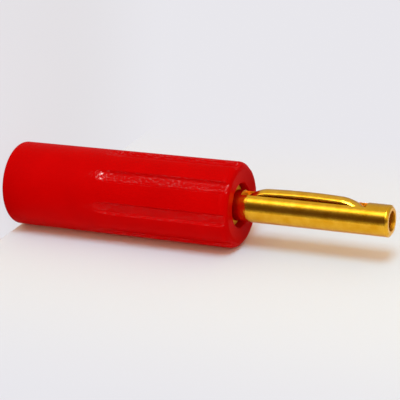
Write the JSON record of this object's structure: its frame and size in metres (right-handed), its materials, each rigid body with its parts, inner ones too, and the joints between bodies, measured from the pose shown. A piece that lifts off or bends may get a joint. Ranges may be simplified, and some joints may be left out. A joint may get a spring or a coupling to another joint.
{
  "type": "banana plug",
  "caption": "Banana plug for 4 mm sockets: a fluted moulded barrel on a hollow slotted pin with a bowed leaf spring, for a wire held by a clamp screw.",
  "frame": {"origin": "middle of the rear face, on which the plug stands", "axes": "+Z along the plug's axis towards the pin's tip, -Y out through the slot in the pin"},
  "size_m": [0.011, 0.011, 0.0517],
  "materials": {
    "red_plastic": "gloss",
    "gold_plating": "polished",
    "spring_plating": "polished",
    "screw_steel": "satin"
  },
  "bodies": {
    "barrel": {"insulating_barrel": "red_plastic"},
    "contact": {"contact_pin": "gold_plating"},
    "spring": {"contact_spring": "spring_plating"},
    "screw": {"clamp_screw": "screw_steel"}
  },
  "joints": [
    {"name": "contact_unscrew", "type": "slide", "parent": "barrel", "child": "contact", "axis": [0, 0, 1], "range_m": [0, 0.0205]},
    {"name": "spring_press", "type": "slide", "parent": "contact", "child": "spring", "axis": [0, 1, 0], "range_m": [0, 0.0005], "stiffness_N_per_m": 4000},
    {"name": "screw_clamp", "type": "slide", "parent": "contact", "child": "screw", "axis": [0, 1, 0], "range_m": [0, 0.0008]}
  ]
}
